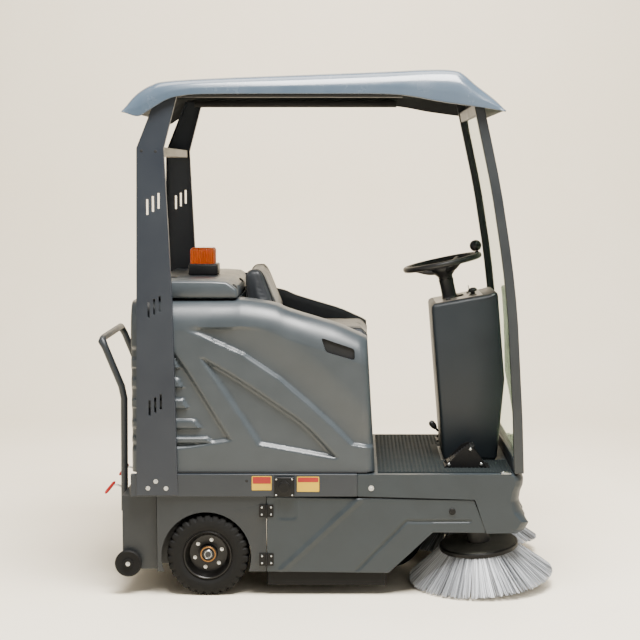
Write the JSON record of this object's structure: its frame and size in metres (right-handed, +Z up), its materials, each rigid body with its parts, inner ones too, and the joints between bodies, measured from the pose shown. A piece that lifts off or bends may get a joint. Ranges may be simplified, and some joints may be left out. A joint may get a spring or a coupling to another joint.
{
  "type": "ride on sweeper",
  "caption": "Ride-on floor sweeper with canopy, seat on a tilting hood, steering console, side brushes, main broom and a pull-out dust bin.",
  "frame": {"origin": "on the floor, under the middle of the machine's outline", "axes": "+X forward, +Y to the driver's left, +Z up"},
  "size_m": [1.8449, 1.174, 2.0723],
  "materials": {
    "steel": "blue-grey powder coat, satin",
    "frame_steel": "black-grey chassis paint, satin",
    "painted_sheet": "grey powder coat on folded sheet, satin",
    "moulded_grey": "rotomoulded grey, fine grain",
    "moulded_dark": "rotomoulded slate grey, fine grain",
    "roof_plastic": "blue-grey gloss moulded sheet",
    "tread_mat": "ribbed deck mat",
    "tyre": "solid rubber, block tread",
    "skirt_rubber": "matt black",
    "rim_enamel": "black enamel",
    "black_plastic": "moulded black, satin",
    "red_plastic": "moulded red",
    "amber_lens": "translucent ribbed amber",
    "chrome": "bright plated",
    "vinyl": "black vinyl seat covering",
    "glass": "lightly green tinted clear sheet",
    "bristle": "grey-white nylon bristle",
    "broom_bristle": "black nylon bristle",
    "battery_case": "moulded black case"
  },
  "bodies": {
    "root": {"side_rail_right": "steel", "side_rail_left": "steel", "floor_frame": "frame_steel", "wheel_panel_right": "painted_sheet", "wheel_panel_left": "painted_sheet", "front_body": "moulded_grey", "deck_mat": "tread_mat", "pillar_right": "steel", "pillar_left": "steel", "pillar_crossbar": "steel", "post_right": "steel", "post_left": "steel", "windshield_header": "steel", "windshield_sill": "steel", "windshield_glass": "glass", "roof_shell": "roof_plastic", "steering_console": "moulded_dark", "charging_socket": "black_plastic", "battery_pack": "battery_case", "suction_fan": "frame_steel", "wheel_bracket_right": "frame_steel", "wheel_bracket_left": "frame_steel", "broom_housing": "frame_steel", "side_skirt_right": "skirt_rubber", "side_skirt_left": "skirt_rubber"},
    "hood": {"hood_shell": "moulded_grey", "seat_rails": "frame_steel"},
    "seat": {"seat_cushion": "vinyl", "seat_back": "vinyl"},
    "hatch": {"top_hatch": "moulded_grey", "beacon_base": "black_plastic", "beacon_lens": "amber_lens"},
    "door_right": {"door_right": "painted_sheet"},
    "door_left": {"door_left": "painted_sheet"},
    "rear_wheel_right": {"tyre_right": "tyre", "rim_right": "rim_enamel"},
    "rear_wheel_left": {"tyre_left": "tyre", "rim_left": "rim_enamel"},
    "fork": {"front_fork": "frame_steel"},
    "front_wheel": {"front_wheel": "tyre"},
    "steering": {"steering_wheel": "black_plastic"},
    "spinner": {"spinner_knob": "black_plastic"},
    "stop_button": {"stop_button": "red_plastic"},
    "key": {"key_switch": "chrome"},
    "lever": {"broom_lever": "black_plastic"},
    "accelerator": {"accelerator_pedal": "black_plastic"},
    "brake": {"brake_pedal": "black_plastic"},
    "brush_arm_right": {"brush_arm_right": "frame_steel"},
    "brush_arm_left": {"brush_arm_left": "frame_steel"},
    "side_brush_right": {"side_brush_right": "bristle"},
    "side_brush_left": {"side_brush_left": "bristle"},
    "broom_arms": {"broom_arms": "frame_steel"},
    "main_broom": {"main_broom": "broom_bristle"},
    "bin": {"dust_bin": "painted_sheet", "bin_handle": "steel"},
    "bin_wheel_right": {"bin_wheel_right": "skirt_rubber"},
    "bin_wheel_left": {"bin_wheel_left": "skirt_rubber"},
    "latch_right": {"bin_latch_right": "red_plastic"},
    "latch_left": {"bin_latch_left": "red_plastic"},
    "flap": {"charging_flap": "black_plastic"}
  },
  "joints": [
    {"name": "hood_tilt", "type": "hinge", "parent": "root", "child": "hood", "pos_m": [0.194, 0, 0.493], "axis": [0, 1, 0], "range_deg": [0, 20]},
    {"name": "seat_slide", "type": "slide", "parent": "hood", "child": "seat", "axis": [1, 0, 0], "range_m": [0, 0.06]},
    {"name": "hatch_hinge", "type": "hinge", "parent": "hood", "child": "hatch", "pos_m": [-0.7, 0, 1.1805], "axis": [0, -1, 0], "range_deg": [0, 70]},
    {"name": "door_right_hinge", "type": "hinge", "parent": "root", "child": "door_right", "pos_m": [-0.235, -0.4955, 0.248], "axis": [0, 0, -1], "range_deg": [0, 100]},
    {"name": "door_left_hinge", "type": "hinge", "parent": "root", "child": "door_left", "pos_m": [-0.235, 0.4955, 0.248], "axis": [0, 0, 1], "range_deg": [0, 100]},
    {"name": "rear_wheel_right_spin", "type": "hinge", "parent": "root", "child": "rear_wheel_right", "pos_m": [-0.468, -0.445, 0.162], "axis": [0, 1, 0], "continuous": true},
    {"name": "rear_wheel_left_spin", "type": "hinge", "parent": "root", "child": "rear_wheel_left", "pos_m": [-0.468, 0.445, 0.162], "axis": [0, 1, 0], "continuous": true},
    {"name": "fork_steer", "type": "hinge", "parent": "root", "child": "fork", "pos_m": [0.26, 0, 0.4], "axis": [0, 0, 1], "range_deg": [-60, 60]},
    {"name": "front_wheel_spin", "type": "hinge", "parent": "fork", "child": "front_wheel", "pos_m": [0.26, 0, 0.14], "axis": [0, 1, 0], "continuous": true},
    {"name": "steering_turn", "type": "hinge", "parent": "root", "child": "steering", "pos_m": [0.4815, 0, 1.296], "axis": [-0.2079, 0, 0.9781], "range_deg": [-121, 121]},
    {"name": "spinner_spin", "type": "hinge", "parent": "steering", "child": "spinner", "pos_m": [0.62448, 0, 1.34479], "axis": [-0.2079, 0, 0.9781], "continuous": true},
    {"name": "broom_lift", "type": "hinge", "parent": "root", "child": "broom_arms", "pos_m": [0.1, 0, 0.3], "axis": [0, 1, 0], "range_deg": [0, 12]},
    {"name": "broom_spin", "type": "hinge", "parent": "broom_arms", "child": "main_broom", "pos_m": [-0.11, 0, 0.135], "axis": [0, 1, 0], "continuous": true},
    {"name": "lever_tilt", "type": "hinge", "parent": "root", "child": "lever", "pos_m": [0.464, -0.06, 0.59], "axis": [0, -1, 0], "range_deg": [0, 37]},
    {"name": "brush_lift_right", "type": "hinge", "parent": "root", "child": "brush_arm_right", "pos_m": [0.3, -0.305, 0.33], "axis": [0, -1, 0], "range_deg": [0, 8]},
    {"name": "brush_spin_right", "type": "hinge", "parent": "brush_arm_right", "child": "side_brush_right", "pos_m": [0.618, -0.305, 0.168], "axis": [-0.0782, -0.0869, 0.9931], "continuous": true},
    {"name": "brush_lift_left", "type": "hinge", "parent": "root", "child": "brush_arm_left", "pos_m": [0.3, 0.305, 0.33], "axis": [0, -1, 0], "range_deg": [0, 8]},
    {"name": "brush_spin_left", "type": "hinge", "parent": "brush_arm_left", "child": "side_brush_left", "pos_m": [0.618, 0.305, 0.168], "axis": [-0.0782, 0.0869, 0.9931], "continuous": true},
    {"name": "bin_pull", "type": "slide", "parent": "root", "child": "bin", "axis": [-1, 0, 0], "range_m": [0, 0.6]},
    {"name": "bin_wheel_right_spin", "type": "hinge", "parent": "bin", "child": "bin_wheel_right", "pos_m": [-0.784, -0.475, 0.128], "axis": [0, 1, 0], "continuous": true},
    {"name": "latch_right_turn", "type": "hinge", "parent": "bin", "child": "latch_right", "pos_m": [-0.8215, -0.2, 0.352], "axis": [0, 1, 0], "range_deg": [0, 35]},
    {"name": "bin_wheel_left_spin", "type": "hinge", "parent": "bin", "child": "bin_wheel_left", "pos_m": [-0.784, 0.475, 0.128], "axis": [0, 1, 0], "continuous": true},
    {"name": "latch_left_turn", "type": "hinge", "parent": "bin", "child": "latch_left", "pos_m": [-0.8215, 0.2, 0.352], "axis": [0, 1, 0], "range_deg": [0, 35]},
    {"name": "accelerator_press", "type": "hinge", "parent": "root", "child": "accelerator", "pos_m": [0.488, -0.315, 0.502], "axis": [0, 1, 0], "range_deg": [0, 18], "stiffness_Nm_per_rad": 0.9, "springref_deg": -34.38},
    {"name": "brake_press", "type": "hinge", "parent": "root", "child": "brake", "pos_m": [0.488, 0.315, 0.502], "axis": [0, 1, 0], "range_deg": [0, 18], "stiffness_Nm_per_rad": 0.9, "springref_deg": -34.38},
    {"name": "stop_press", "type": "slide", "parent": "root", "child": "stop_button", "axis": [0.1781, 0, -0.984], "range_m": [0, 0.005], "stiffness_N_per_m": 300, "springref_m": -0.003},
    {"name": "key_turn", "type": "hinge", "parent": "root", "child": "key", "pos_m": [0.59991, 0.06, 1.16263], "axis": [-0.1781, 0, 0.984], "range_deg": [0, 60]},
    {"name": "flap_lift", "type": "hinge", "parent": "root", "child": "flap", "pos_m": [-0.163, -0.5188, 0.466], "axis": [-1, 0, 0], "range_deg": [0, 100]}
  ],
  "couplings": [
    {"joint": "steering_turn", "follows": "fork_steer", "ratio": 2},
    {"joint": "lever_tilt", "follows": "broom_lift", "ratio": 3}
  ]
}
